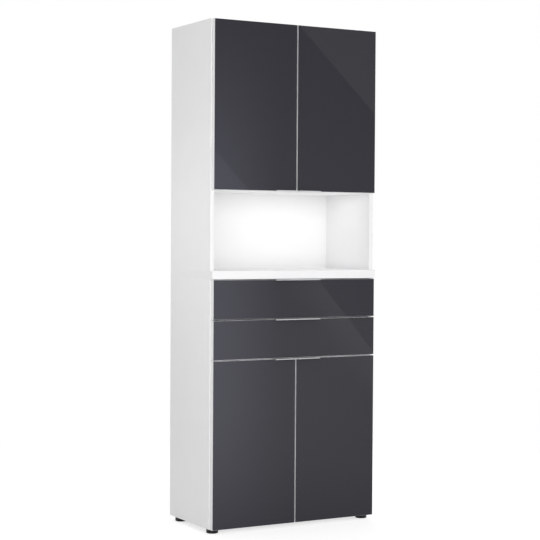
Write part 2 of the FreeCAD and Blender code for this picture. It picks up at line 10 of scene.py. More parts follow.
import bpy
from bpy.types import Material, Node, NodeSocket, NodeTree, Object
from mathutils import Matrix, Vector


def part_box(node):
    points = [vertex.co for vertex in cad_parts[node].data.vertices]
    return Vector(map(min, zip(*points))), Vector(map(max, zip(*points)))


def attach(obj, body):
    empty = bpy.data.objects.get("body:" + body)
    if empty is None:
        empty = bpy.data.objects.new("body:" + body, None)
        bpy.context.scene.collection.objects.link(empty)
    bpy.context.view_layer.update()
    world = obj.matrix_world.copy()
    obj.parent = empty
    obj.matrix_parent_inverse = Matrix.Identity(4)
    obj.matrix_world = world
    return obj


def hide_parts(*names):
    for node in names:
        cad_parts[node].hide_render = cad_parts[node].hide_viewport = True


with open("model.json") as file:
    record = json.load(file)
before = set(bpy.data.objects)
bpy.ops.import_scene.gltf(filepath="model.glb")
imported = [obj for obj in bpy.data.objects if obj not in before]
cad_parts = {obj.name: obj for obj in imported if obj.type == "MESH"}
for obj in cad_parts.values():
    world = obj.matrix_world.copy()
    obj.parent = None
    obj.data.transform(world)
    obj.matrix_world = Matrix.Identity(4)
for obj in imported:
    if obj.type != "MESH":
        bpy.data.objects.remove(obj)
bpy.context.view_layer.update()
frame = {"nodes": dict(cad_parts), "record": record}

LOG = logging.getLogger("storage_cabinet")
MILLIMETRE = 0.001
# Share of a disc's height within which an edge belongs to a rim
RIM_TOLERANCE = 0.01


class Side(Enum):
    """Left and right halves of the cabinet, as signs along X."""

    LEFT = -1
    RIGHT = 1


class Tier(Enum):
    """The two tiers of the cabinet, as the names of their nodes start."""

    BASE = "base"
    UPPER = "upper"


def linear(hex_colour: str) -> tuple[float, float, float, float]:
    """Turn an sRGB colour into the linear one that shaders take.

    Args:
        hex_colour: Colour as "#RRGGBB".

    Returns:
        Red, green, blue and an alpha of one.
    """
    digits = hex_colour.lstrip("#")
    channels = [int(digits[start:start + 2], 16) / 255 for start in (0, 2, 4)]
    low_limit, low_slope, lift, gamma = 0.04045, 12.92, 0.055, 2.4
    red, green, blue = (
        value / low_slope if value <= low_limit else ((value + lift) / (1 + lift)) ** gamma
        for value in channels
    )
    return red, green, blue, 1.0


def add_node(tree: NodeTree, kind: str, settings: dict[str | int, object] | None = None,
             links: dict[str | int, NodeSocket] | None = None) -> Node:
    """Add one node to a tree, set it up and link its inputs.

    Args:
        tree: Tree that takes the node.
        kind: Type name of the node.
        settings: Properties by name, and input values by socket name or number.
        links: Output sockets by the name or number of the input that they feed.

    Returns:
        The new node.
    """
    node = tree.nodes.new(kind)
    for key, setting in (settings or {}).items():
        if isinstance(key, str) and hasattr(node, key):
            setattr(node, key, setting)
        else:
            node.inputs[key].default_value = setting
    for key, source in (links or {}).items():
        tree.links.new(source, node.inputs[key])
    return node


def new_material(name: str) -> tuple[Material, NodeTree]:
    """Make a material with an empty node tree, and give back both."""
    material = bpy.data.materials.new(name)
    material.use_nodes = True
    material.node_tree.nodes.clear()
    return material, material.node_tree


def finish_tree(tree: NodeTree, shader: NodeSocket) -> None:
    """Link a finished shader to the surface of the tree's output."""
    add_node(tree, "ShaderNodeOutputMaterial", links={"Surface": shader})


def scale_of(size_mm: float) -> float:
    """Scale of a noise whose grains are about so many millimetres wide."""
    return 1 / (size_mm * MILLIMETRE)


class BoardRun(Enum):
    """Groups of white boards whose fronts stand in one plane, each with one of its nodes."""

    CARCASS = "base_side_left"
    COVER = "cover_board"
    SHELF = "base_shelf"
    CARRIER = "drawer_1_carrier"
    DRAWER_BOX = "drawer_1_side_left"

    @property
    def front(self) -> float:
        """Y of the plane that the group's fronts stand in."""
        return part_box(self.value)[0].y

    @property
    def banded_in_front(self) -> bool:
        """Whether only the front is banded, so that the band's hairline shows on the faces beside it."""
        return self in (BoardRun.CARCASS, BoardRun.COVER, BoardRun.SHELF)


@dataclass(frozen=True)
class MelamineBoard:
    """White melamine-faced particle board with an ABS edge band along its front.

    The decor paper is soaked in resin and pressed against a pearl plate, which leaves a satin skin
    with soft pits. The band is glued on and scraped flush, so it shows as a hairline on the faces.
    Pits and hairline are finer than the picture can show, so both are drawn coarser.
    """

    run: BoardRun
    colour: str = "#F3F3F3"
    shade: str = "#EFEFF0"
    band_line: str = "#DADADB"
    roughness: float = 0.38
    roughness_swing: float = 0.04
    ior: float = 1.5
    cloud_mm: float = 90.0
    cloud_detail: float = 3.0
    pearl_mm: float = 1.4
    pearl_detail: float = 2.0
    pit_mm: float = 0.02
    pit_strength: float = 0.25
    band_mm: float = 1.0
    half_line_mm: float = 0.15

    def build(self) -> Material:
        """Build the material.

        Returns:
            Board material with pearl pits, slight clouding and the edge band's hairline.
        """
        material, tree = new_material(f"white_melamine_{self.run.name.lower()}")
        place = add_node(tree, "ShaderNodeTexCoord").outputs["Object"]
        clouds = add_node(tree, "ShaderNodeTexNoise", {
            "Scale": scale_of(self.cloud_mm), "Detail": self.cloud_detail}, {"Vector": place}).outputs["Fac"]
        colour = add_node(tree, "ShaderNodeMix", {
            "data_type": "RGBA", 6: linear(self.colour), 7: linear(self.shade)},
            {"Factor": clouds}).outputs[2]
        if self.run.banded_in_front:
            depth = add_node(tree, "ShaderNodeSeparateXYZ", links={"Vector": place}).outputs["Y"]
            on_line = add_node(tree, "ShaderNodeMath", {
                "operation": "COMPARE", 1: self.run.front + self.band_mm * MILLIMETRE,
                2: self.half_line_mm * MILLIMETRE}, {0: depth})
            colour = add_node(tree, "ShaderNodeMix", {"data_type": "RGBA", 7: linear(self.band_line)},
                              {"Factor": on_line.outputs[0], 6: colour}).outputs[2]
        pearl = add_node(tree, "ShaderNodeTexNoise", {
            "Scale": scale_of(self.pearl_mm), "Detail": self.pearl_detail}, {"Vector": place})
        pits = add_node(tree, "ShaderNodeBump", {
            "Strength": self.pit_strength, "Distance": self.pit_mm * MILLIMETRE},
            {"Height": pearl.outputs["Fac"]})
        gloss = add_node(tree, "ShaderNodeMapRange", {
            "To Min": self.roughness - self.roughness_swing,
            "To Max": self.roughness + self.roughness_swing}, {"Value": clouds})
        shader = add_node(tree, "ShaderNodeBsdfPrincipled", {"IOR": self.ior}, {
            "Base Color": colour, "Roughness": gloss.outputs[0], "Normal": pits.outputs[0]})
        finish_tree(tree, shader.outputs[0])
        return material


@dataclass(frozen=True)
class LacqueredGlass:
    """Float glass lacquered anthracite on its back.

    The lacquer shows through clear glass with a mirror-like face, and the ground edges are
    matt and pale. The lacquer's mottling is too fine for the picture, so it is drawn coarser.
    """

    name: str = "anthracite_lacquered_float_glass"
    lacquer: str = "#38373D"
    lacquer_deep: str = "#36353B"
    edge: str = "#E4E5E7"
    ior: float = 1.52
    face_roughness: float = 0.0
    edge_roughness: float = 0.4
    mottle_mm: float = 3.0
    mottle_detail: float = 2.0
    wave_mm: float = 180.0
    wave_detail: float = 0.0
    wave_depth_mm: float = 0.04
    wave_strength: float = 0.2
    face_limit: float = 0.9

    def build(self) -> Material:
        """Build the material.

        Returns:
            Glass material that tells the polished face from the ground edges.
        """
        material, tree = new_material(self.name)
        coordinates = add_node(tree, "ShaderNodeTexCoord")
        place = coordinates.outputs["Object"]
        facing = add_node(tree, "ShaderNodeSeparateXYZ", links={"Vector": coordinates.outputs["Normal"]})
        turned = add_node(tree, "ShaderNodeMath", {"operation": "ABSOLUTE"}, {0: facing.outputs["Y"]})
        is_edge = add_node(tree, "ShaderNodeMath", {"operation": "LESS_THAN", 1: self.face_limit},
                           {0: turned.outputs[0]})
        mottle = add_node(tree, "ShaderNodeTexNoise", {
            "Scale": scale_of(self.mottle_mm), "Detail": self.mottle_detail}, {"Vector": place})
        lacquer = add_node(tree, "ShaderNodeMix", {
            "data_type": "RGBA", 6: linear(self.lacquer), 7: linear(self.lacquer_deep)},
            {"Factor": mottle.outputs["Fac"]})
        colour = add_node(tree, "ShaderNodeMix", {"data_type": "RGBA", 7: linear(self.edge)},
                          {"Factor": is_edge.outputs[0], 6: lacquer.outputs[2]})
        gloss = add_node(tree, "ShaderNodeMapRange", {
            "To Min": self.face_roughness, "To Max": self.edge_roughness}, {"Value": is_edge.outputs[0]})
        waves = add_node(tree, "ShaderNodeTexNoise", {
            "Scale": scale_of(self.wave_mm), "Detail": self.wave_detail}, {"Vector": place})
        wavy = add_node(tree, "ShaderNodeBump", {
            "Strength": self.wave_strength, "Distance": self.wave_depth_mm * MILLIMETRE},
            {"Height": waves.outputs["Fac"]})
        shader = add_node(tree, "ShaderNodeBsdfPrincipled", {"IOR": self.ior}, {
            "Base Color": colour.outputs[2], "Roughness": gloss.outputs[0], "Normal": wavy.outputs[0]})
        finish_tree(tree, shader.outputs[0])
        return material


@dataclass(frozen=True)
class Grain:
    """One noise that shades and raises a surface a little.

    Real fibres and draw lines are finer than the picture can show, so they are drawn coarser.
    """

    tones: tuple[str, str]
    size_mm: float
    depth_mm: float
    detail: float = 2.0
    stretch: tuple[float, float, float] = (1.0, 1.0, 1.0)
    strength: float = 0.3

    def add_to(self, tree: NodeTree) -> tuple[NodeSocket, ...]:
        """Add the grain to a material.

        Args:
            tree: Tree that takes the nodes.

        Returns:
            Sockets of the noise, the colour and the normal.
        """
        place = add_node(tree, "ShaderNodeTexCoord").outputs["Object"]
        along = add_node(tree, "ShaderNodeMapping", {"Scale": self.stretch}, {"Vector": place})
        noise = add_node(tree, "ShaderNodeTexNoise", {
            "Scale": scale_of(self.size_mm), "Detail": self.detail},
            {"Vector": along.outputs[0]}).outputs["Fac"]
        low_tone, high_tone = self.tones
        tone = add_node(tree, "ShaderNodeMix", {
            "data_type": "RGBA", 6: linear(low_tone), 7: linear(high_tone)}, {"Factor": noise})
        relief = add_node(tree, "ShaderNodeBump", {
            "Strength": self.strength, "Distance": self.depth_mm * MILLIMETRE}, {"Height": noise})
        return noise, tone.outputs[2], relief.outputs[0]


@dataclass(frozen=True)
class Metal:
    """Metal with fine lines or clouds from how it was made."""

    name: str
    roughness: float
    grain: Grain
    roughness_swing: float = 0.05

    def build(self) -> Material:
        """Build the material, with tone, skin and gloss slightly uneven along its grain."""
        material, tree = new_material(self.name)
        noise, colour, normal = self.grain.add_to(tree)
        gloss = add_node(tree, "ShaderNodeMapRange", {
            "To Min": self.roughness - self.roughness_swing,
            "To Max": self.roughness + self.roughness_swing}, {"Value": noise})
        shader = add_node(tree, "ShaderNodeBsdfPrincipled", {"Metallic": 1.0}, {
            "Base Color": colour, "Roughness": gloss.outputs[0], "Normal": normal})
        finish_tree(tree, shader.outputs[0])
        return material


@dataclass(frozen=True)
class EvenSkin:
    """Foil or moulded plastic with one gloss all over."""

    name: str
    roughness: float
    ior: float
    grain: Grain

    def build(self) -> Material:
        """Build the material, with a slightly uneven tone and skin."""
        material, tree = new_material(self.name)
        _, colour, normal = self.grain.add_to(tree)
        shader = add_node(tree, "ShaderNodeBsdfPrincipled", {"IOR": self.ior, "Roughness": self.roughness},
                          {"Base Color": colour, "Normal": normal})
        finish_tree(tree, shader.outputs[0])
        return material


# Extruded aluminium, satin anodised: pale grey with fine draw lines along its length
GRIP_METAL = Metal("natural_anodised_aluminium", roughness=0.3, grain=Grain(
    ("#DBDCDE", "#D0D1D4"), size_mm=1.2, depth_mm=0.01, detail=3.0, stretch=(0.02, 1.0, 1.0)))
# Pressed steel, zinc-plated: bluish grey, softly clouded
ZINC_METAL = Metal("zinc_plated_steel", roughness=0.3, grain=Grain(
    ("#C3C6CA", "#B2B6BC"), size_mm=6.0, depth_mm=0.01, detail=3.0))
# Hardboard under a printed foil: rougher than melamine, with upright fibres showing faintly through
BACKBOARD = EvenSkin("white_foiled_hardboard", roughness=0.55, ior=1.48, grain=Grain(
    ("#F1F1F1", "#EBEBEB"), size_mm=2.5, depth_mm=0.03, detail=4.0, stretch=(1.0, 1.0, 1 / 6)))
# Polypropylene, moulded: glossy black
GLIDE_PLASTIC = EvenSkin("glossy_black_polypropylene", roughness=0.2, ior=1.49, grain=Grain(
    ("#0F0F11", "#151517"), size_mm=8.0, depth_mm=0.03))
# Nylon, natural: milky white and satin
NYLON = EvenSkin("natural_nylon", roughness=0.45, ior=1.53, grain=Grain(
    ("#E6E4DC", "#DEDCD3"), size_mm=6.0, depth_mm=0.02))
# Polyurethane, cast clear: pale grey over white board
BUMPER_PLASTIC = EvenSkin("clear_cast_polyurethane", roughness=0.12, ior=1.5, grain=Grain(
    ("#DFE1E1", "#D8DADB"), size_mm=2.0, depth_mm=0.02))


@dataclass
class Finishes:
    """Every finish of the cabinet, built once."""

    boards: dict[BoardRun, Material] = field(default_factory=lambda: {
        run: MelamineBoard(run).build() for run in BoardRun})
    backboard: Material = field(default_factory=BACKBOARD.build)
    glass: Material = field(default_factory=LacqueredGlass().build)
    grip: Material = field(default_factory=GRIP_METAL.build)
    zinc: Material = field(default_factory=ZINC_METAL.build)
    glide: Material = field(default_factory=GLIDE_PLASTIC.build)
    cage: Material = field(default_factory=NYLON.build)
    bumper: Material = field(default_factory=BUMPER_PLASTIC.build)

    def for_board(self, node: str) -> Material:
        """Board finish whose front plane a node stands nearest to."""
        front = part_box(node)[0].y
        return self.boards[min(BoardRun, key=lambda run: abs(run.front - front))]

    def for_node(self, node: str, slot: str) -> Material:
        """Find the finish of a node.

        Args:
            node: Name of the node.
            slot: Its slot in the record.

        Returns:
            The finish.
        """
        plain = {
            "white_backboard": self.backboard,
            "anthracite_glass": self.glass,
            "anodised_aluminium": self.grip,
            "zinc_steel": self.zinc,
            "black_plastic": self.glide,
            "cage_plastic": self.cage,
        }
        return plain[slot] if slot in plain else self.for_board(node)


def dress(piece: Object, material: Material) -> None:
    """Give a piece one material all over."""
    if not piece.material_slots:
        piece.data.materials.append(material)
    for material_slot in piece.material_slots:
        material_slot.material = material


def dress_frame(finishes: Finishes) -> None:
    """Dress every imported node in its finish."""
    for part in frame["record"]["subparts"]:
        node = part["node"]
        dress(frame["nodes"][node], finishes.for_node(node, part["material_slot"]))
        LOG.info("dressed %s", node)


def activate(piece: Object) -> None:
    """Select one piece alone and make it active."""
    bpy.ops.object.select_all(action="DESELECT")
    piece.select_set(True)
    bpy.context.view_layer.objects.active = piece


def bevel_edges(piece: Object, wanted: Callable[[Vector], bool], offset: float,
                segments: int) -> None:
    """Bevel the edges whose middles pass a test.

    Args:
        piece: Active piece.
        wanted: Test of the middle of an edge.
        offset: Reach of the bevel on either side of the edge.
        segments: Facets across it.
    """
    bpy.ops.object.mode_set(mode="EDIT")
    bpy.ops.mesh.select_mode(type="EDGE")
    bpy.ops.mesh.select_all(action="DESELECT")
    bpy.ops.object.mode_set(mode="OBJECT")
    for edge in piece.data.edges:
        start, end = (piece.data.vertices[index].co for index in edge.vertices)
        edge.select = wanted((start + end) / 2)
    bpy.ops.object.mode_set(mode="EDIT")
    bpy.ops.mesh.bevel(offset=offset, segments=segments)
    bpy.ops.object.mode_set(mode="OBJECT")


def settle(piece: Object) -> None:
    """Bake a piece's own place into its mesh, so that its object stands at the origin."""
    piece.data.transform(piece.matrix_basis)
    piece.matrix_basis = Matrix.Identity(4)


def add_block(name: str, low: Vector, high: Vector) -> Object:
    """Add a block between two corners and leave it active.

    Args:
        name: Name of the block.
        low: Lowest corner.
        high: Highest corner.

    Returns:
        The block, with its place in its mesh.
    """
    bpy.ops.mesh.primitive_cube_add(size=1, location=(low + high) / 2, scale=high - low)
    block = bpy.context.active_object
    block.name = name
    settle(block)
    return block


def add_disc(name: str, radius: float, height: float, sides: int,
             rims: tuple[tuple[float, float, int], ...]) -> Object:
    """Add a round disc that stands on the origin along +Z, and leave it active.

    Args:
        name: Name of the disc.
        radius: Its radius.
        height: Its height.
        sides: Facets around it.
        rims: Level, rounding and facets of each rim that is rounded.

    Returns:
        The disc, with its place in its mesh.
    """
    bpy.ops.mesh.primitive_cylinder_add(vertices=sides, radius=radius, depth=height,
                                        location=(0, 0, height / 2))
    disc = bpy.context.active_object
    disc.name = name
    settle(disc)
    for level, offset, segments in rims:
        bevel_edges(disc, lambda middle: abs(middle.z - level) < height * RIM_TOLERANCE, offset, segments)
    return disc


def cut(piece: Object, cutter: Object) -> None:
    """Cut a piece by a cutter, which is used up.

    Args:
        piece: Piece to cut.
        cutter: Closed mesh that takes material away.
    """
    activate(piece)
    difference = piece.modifiers.new("cut", "BOOLEAN")
    difference.operation = "DIFFERENCE"
    difference.object = cutter
    bpy.ops.object.modifier_apply(modifier=difference.name)
    bpy.data.objects.remove(cutter)


def placed_copy(template: Object, name: str, seat: Vector, outwards: Vector) -> Object:
    """Copy a template that stands on the origin along +Z to its seat.

    Args:
        template: Piece modelled at the origin.
        name: Name of the copy.
        seat: Point that the copy stands on.
        outwards: Direction that the template's +Z turns to.

    Returns:
        The copy, with its own mesh and its place in that mesh.
    """
    piece = bpy.data.objects.new(name, template.data.copy())
    bpy.context.scene.collection.objects.link(piece)
    turn = outwards.to_track_quat("Z", "Y").to_matrix().to_4x4()
    piece.data.transform(Matrix.Translation(seat) @ turn)
    return piece


def joined(pieces: list[Object], name: str) -> Object:
    """Join pieces into one.

    Args:
        pieces: Pieces to join.
        name: Name of the whole.

    Returns:
        The joined piece, left active.
    """
    activate(pieces[0])
    for piece in pieces:
        piece.select_set(True)
    bpy.ops.object.join()
    whole = bpy.context.active_object
    whole.name = name
    return whole


@dataclass(frozen=True)
class ScrewHead:
    """Head of a cross-recess screw, which stands on its seat."""

    name: str
    radius: float
    height: float
    crown: float
    recess_width: float
    recess_depth: float
    recess_share: float = 1.2
    sides: int = 28
    crown_facets: int = 3
    smooth_angle: float = math.radians(35)

    def model(self) -> Object:
        """Model the head at the origin, along +Z.

        Returns:
            Template of the head, with a rounded crown and a cross cut into it.
        """
        head = add_disc(self.name, self.radius, self.height, self.sides,
                        ((self.height, self.crown, self.crown_facets),))
        for turn in (0, math.pi / 2):
            self.cut_slot(head, turn)
        activate(head)
        bpy.ops.object.shade_smooth_by_angle(angle=self.smooth_angle)
        return head

    def cut_slot(self, head: Object, turn: float) -> None:
        """Cut one slot of the cross.

        Args:
            head: Head to cut.
            turn: Turn of the slot about the screw, in radians.
        """
        size = (self.radius * self.recess_share, self.recess_width, 2 * self.recess_depth)
        bpy.ops.mesh.primitive_cube_add(size=1, location=(0, 0, self.height), rotation=(0, 0, turn),
                                        scale=size)
        cut(head, bpy.context.active_object)


@dataclass(frozen=True)
class SoftBumper:
    """Small domed dot of soft plastic that a front closes against."""

    name: str
    radius: float
    height: float
    sides: int = 28
    dome_share: float = 0.8
    dome_facets: int = 5
    smooth_angle: float = math.radians(50)

    def model(self) -> Object:
        """Model the dot at the origin, along +Z.

        Returns:
            Template of the dot.
        """
        dot = add_disc(self.name, self.radius, self.height, self.sides,
                       ((self.height, self.height * self.dome_share, self.dome_facets),))
        bpy.ops.object.shade_smooth_by_angle(angle=self.smooth_angle)
        return dot


BACKWARDS = Vector((0, 1, 0))
PAN_SCREW = ScrewHead(
    "pan_screw_template", radius=3.6 * MILLIMETRE, height=1.1 * MILLIMETRE, crown=0.7 * MILLIMETRE,
    recess_width=0.9 * MILLIMETRE, recess_depth=0.8 * MILLIMETRE)
FLAT_SCREW = ScrewHead(
    "flat_screw_template", radius=2.6 * MILLIMETRE, height=0.25 * MILLIMETRE, crown=0.1 * MILLIMETRE,
    recess_width=0.7 * MILLIMETRE, recess_depth=0.2 * MILLIMETRE)
BUMPER = SoftBumper("bumper_template", radius=3.2 * MILLIMETRE, height=1.6 * MILLIMETRE)


@dataclass
class Fastening:
    """Templates and finishes of the small fittings, and how they are set in place."""

    finishes: Finishes
    pan_screw: Object = field(default_factory=PAN_SCREW.model)
    flat_screw: Object = field(default_factory=FLAT_SCREW.model)
    bumper: Object = field(default_factory=BUMPER.model)

    def set_in_place(self, template: Object, name: str, body: str, seat: Vector,
                     outwards: Vector) -> None:
        """Copy a fitting to its seat, dress it and let it ride on its body.

        Args:
            template: Fitting to copy.
            name: Name of the piece.
            body: Body that carries it.
            seat: Point that it stands on.
            outwards: Way that it faces.
        """
        soft = template == self.bumper
        piece = placed_copy(template, name, seat, outwards)
        dress(piece, self.finishes.bumper if soft else self.finishes.zinc)
        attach(piece, body)
        LOG.info("set %s", name)

    def clear(self) -> None:
        """Remove the templates."""
        for template in (self.pan_screw, self.flat_screw, self.bumper):
            bpy.data.objects.remove(template)


@dataclass
class CupHinge:
    """Screws of one cup hinge: two on its arm, two in its plate and two in its cup's flange."""

    door: str
    side: Side
    number: int
    level: float
    carcass_front: float
    inner_face: float
    arm_top: float = 15.8 * MILLIMETRE
    arm_screws: tuple[float, float] = (20 * MILLIMETRE, 50 * MILLIMETRE)
    plate_top: float = 2.6 * MILLIMETRE
    plate_depth: float = 37 * MILLIMETRE
    plate_screw_rise: float = 16 * MILLIMETRE
    flange_level: float = 0.9 * MILLIMETRE
    flange_screw_inset: float = 11 * MILLIMETRE
    flange_screw_rise: float = 25 * MILLIMETRE

    def inwards(self, distance: float) -> float:
        """X at a distance from the side's inner face towards the middle of the cabinet."""
        return self.side.value * (self.inner_face - distance)

    def fasten(self, fastening: Fastening) -> None:
        """Set every screw of the hinge.

        Args:
            fastening: Fittings and their finishes.
        """
        name = f"{self.door}_hinge_{self.number}"
        screw = fastening.pan_screw
        into_room = Vector((-self.side.value, 0, 0))
        for index, depth in enumerate(self.arm_screws, start=1):
            seat = Vector((self.inwards(self.arm_top), self.carcass_front + depth, self.level))
            fastening.set_in_place(screw, f"{name}_arm_screw_{index}", "cabinet", seat, into_room)
        for index, way in enumerate((-1, 1), start=1):
            seat = Vector((self.inwards(self.plate_top), self.carcass_front + self.plate_depth,
                           self.level + way * self.plate_screw_rise))
            fastening.set_in_place(screw, f"{name}_plate_screw_{index}", "cabinet", seat, into_room)
            seat = Vector((self.inwards(self.flange_screw_inset), self.carcass_front - self.flange_level,
                           self.level + way * self.flange_screw_rise))
            fastening.set_in_place(screw, f"{name}_cup_screw_{index}", self.door, seat, BACKWARDS)


def screw_grip(front: str, at_top: bool, fastening: Fastening) -> None:
    """Set the two flat screws that hold a grip on its front's edge.

    Args:
        front: Name of the door or drawer.
        at_top: Whether the grip is on the front's upper edge.
        fastening: Fittings and their finishes.
    """
    low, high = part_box(f"{front}_handle")
    glass_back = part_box(f"{front}_carrier")[0].y
    depth = (glass_back + high.y) / 2
    end_inset = 18 * MILLIMETRE
    level = high.z if at_top else low.z
    outwards = Vector((0, 0, 1 if at_top else -1))
    for index, across in enumerate((low.x + end_inset, high.x - end_inset), start=1):
        fastening.set_in_place(fastening.flat_screw, f"{front}_grip_screw_{index}", front,
                               Vector((across, depth, level)), outwards)


@dataclass
class Door:
    """Small fittings of one glass door."""

    tier: Tier
    side: Side
    hinge_inset: float = 90 * MILLIMETRE
    bumper_inset: float = 5.5 * MILLIMETRE
    bumper_rise: float = 5 * MILLIMETRE

    @property
    def name(self) -> str:
        """Name of the door's body."""
        return f"{self.tier.value}_door_{self.side.name.lower()}"

    def fit(self, fastening: Fastening) -> None:
        """Set the screws of its hinges and its grip, and its bumpers.

        Args:
            fastening: Fittings and their finishes.
        """
        low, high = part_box(f"{self.name}_carrier")
        side_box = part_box(f"{self.tier.value}_side_right")
        levels = (low.z + self.hinge_inset, high.z - self.hinge_inset)
        for number, level in enumerate(levels, start=1):
            hinge = CupHinge(self.name, self.side, number, level, side_box[0].y, side_box[0].x)
            hinge.fasten(fastening)
        screw_grip(self.name, self.tier is Tier.BASE, fastening)
        free_edge = (low.x if self.side is Side.RIGHT else high.x) + self.side.value * self.bumper_inset
        for index, level in enumerate((low.z + self.bumper_rise, high.z - self.bumper_rise), start=1):
            fastening.set_in_place(fastening.bumper, f"{self.name}_bumper_{index}", self.name,
                                   Vector((free_edge, high.y, level)), BACKWARDS)


@dataclass
class Drawer:
    """Small fittings of one drawer."""

    number: int
    bumper_inset: float = 5 * MILLIMETRE
    bumper_rise: float = 20 * MILLIMETRE
    web_thick: float = 1.2 * MILLIMETRE
    screw_places: tuple[float, ...] = (35 * MILLIMETRE, 163 * MILLIMETRE, 291 * MILLIMETRE)

    @property
    def name(self) -> str:
        """Name of the drawer's body."""
        return f"drawer_{self.number}"

    def fit(self, fastening: Fastening) -> None:
        """Set the screws of its slides and its grip, and its bumpers.

        Args:
            fastening: Fittings and their finishes.
        """
        screw_grip(self.name, True, fastening)
        low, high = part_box(f"{self.name}_carrier")
        slides_low, slides_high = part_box(f"{self.name}_slide_members")
        level = (slides_low.z + slides_high.z) / 2
        for side in Side:
            side_name = side.name.lower()
            box_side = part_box(f"{self.name}_side_{side_name}")
            outer = box_side[1].x if side is Side.RIGHT else box_side[0].x
            web = outer + side.value * self.web_thick
            sideways = Vector((side.value, 0, 0))
            for index, depth in enumerate(self.screw_places, start=1):
                seat = Vector((web, slides_low.y + depth, level))
                fastening.set_in_place(fastening.pan_screw, f"{self.name}_slide_{side_name}_screw_{index}",
                                       self.name, seat, sideways)
            edge = (high.x if side is Side.RIGHT else low.x) - side.value * self.bumper_inset
            for index, rise in enumerate((low.z + self.bumper_rise, high.z - self.bumper_rise), start=1):
                seat = Vector((edge, high.y, rise))
                fastening.set_in_place(fastening.bumper, f"{self.name}_{side_name}_bumper_{index}",
                                       self.name, seat, BACKWARDS)


@dataclass
class SidePanel:
    """Upright side, modelled with the spare holes above and below its shelf pins."""

    tier: Tier
    side: Side
    band_radius: float = 0.8 * MILLIMETRE
    band_facets: int = 3
    groove_depth: float = 6 * MILLIMETRE
    groove_play: float = 0.4 * MILLIMETRE
    hole_radius: float = 2.5 * MILLIMETRE
    hole_depth: float = 11 * MILLIMETRE
    hole_pitch: float = 32 * MILLIMETRE
    hole_sides: int = 24
    spare_holes: int = 3
    pin_radius: float = 2.4 * MILLIMETRE
    pin_half_width: float = 4 * MILLIMETRE
    overrun: float = 1 * MILLIMETRE
    smooth_angle: float = math.radians(30)

    @property
    def node(self) -> str:
        """Name of the node that the panel stands for."""
        return f"{self.tier.value}_side_{self.side.name.lower()}"

    def build(self, finishes: Finishes) -> None:
        """Model the panel, dress it and hide its node, in whose place it stands.

        Args:
            finishes: All finishes.
        """
        low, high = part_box(self.node)
        panel = add_block(f"{self.node}_panel", low, high)
        middle_level = (low.z + high.z) / 2
        bevel_edges(panel, lambda middle: (
            abs(middle.y - low.y) < self.overrun and abs(middle.z - middle_level) < self.overrun),
            self.band_radius, self.band_facets)
        inner_face = low.x if self.side is Side.RIGHT else high.x
        cut(panel, self.groove_cutter(inner_face, low.z, high.z))
        cut(panel, self.hole_cutter(inner_face))
        activate(panel)
        bpy.ops.object.shade_smooth_by_angle(angle=self.smooth_angle)
        dress(panel, finishes.for_board(self.node))
        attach(panel, "cabinet")
        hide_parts(self.node)
        LOG.info("modelled %s", panel.name)

    def groove_cutter(self, inner_face: float, bottom: float, top: float) -> Object:
        """Block that cuts the back panel's groove.

        Args:
            inner_face: X of the side's inner face.
            bottom: Z of the side's lower end.
            top: Z of its upper end.

        Returns:
            The cutter.
        """
        back_low, back_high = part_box(f"{self.tier.value}_back")
        ends = sorted((inner_face + self.side.value * self.groove_depth,
                       inner_face - self.side.value * self.overrun))
        return add_block("groove_cutter", Vector((ends[0], back_low.y, bottom - self.overrun)),
                         Vector((ends[1], back_high.y + self.groove_play, top + self.overrun)))

    def hole_cutter(self, inner_face: float) -> Object:
        """Rods that cut both rows of shelf-pin holes.

        Args:
            inner_face: X of the side's inner face.

        Returns:
            The joined rods.
        """
        pins_low, pins_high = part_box("shelf_pins")
        pin_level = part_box(f"{self.tier.value}_shelf")[0].z - self.pin_radius
        length = self.hole_depth + self.overrun
        across = inner_face + self.side.value * (self.hole_depth - length / 2)
        rods = []
        for depth in (pins_low.y + self.pin_half_width, pins_high.y - self.pin_half_width):
            for step in range(-self.spare_holes, self.spare_holes + 1):
                level = pin_level + step * self.hole_pitch
                bpy.ops.mesh.primitive_cylinder_add(
                    vertices=self.hole_sides, radius=self.hole_radius, depth=length,
                    location=(across, depth, level), rotation=(0, math.pi / 2, 0))
                rods.append(bpy.context.active_object)
        return joined(rods, "hole_cutter")


@dataclass
class Glides:
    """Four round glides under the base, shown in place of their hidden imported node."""

    node: str = "feet"
    radius: float = 25 * MILLIMETRE
    sides: int = 72
    lower_break: float = 3 * MILLIMETRE
    lower_facets: int = 4
    upper_break: float = 0.8 * MILLIMETRE
    upper_facets: int = 2
    smooth_angle: float = math.radians(35)

    def build(self, finishes: Finishes) -> None:
        """Model one glide, set it under each corner, and dress them.

        Args:
            finishes: All finishes.
        """
        low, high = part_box(self.node)
        height = high.z - low.z
        template = add_disc("glide_template", self.radius, height, self.sides, (
            (0, self.lower_break, self.lower_facets), (height, self.upper_break, self.upper_facets)))
        bpy.ops.object.shade_smooth_by_angle(angle=self.smooth_angle)
        glides = [
            placed_copy(template, "glide", Vector((across, depth, low.z)), Vector((0, 0, 1)))
            for across in (low.x + self.radius, high.x - self.radius)
            for depth in (low.y + self.radius, high.y - self.radius)
        ]
        bpy.data.objects.remove(template)
        glides_joined = joined(glides, "glides")
        dress(glides_joined, finishes.glide)
        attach(glides_joined, "cabinet")
        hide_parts(self.node)
        LOG.info("modelled %s", glides_joined.name)


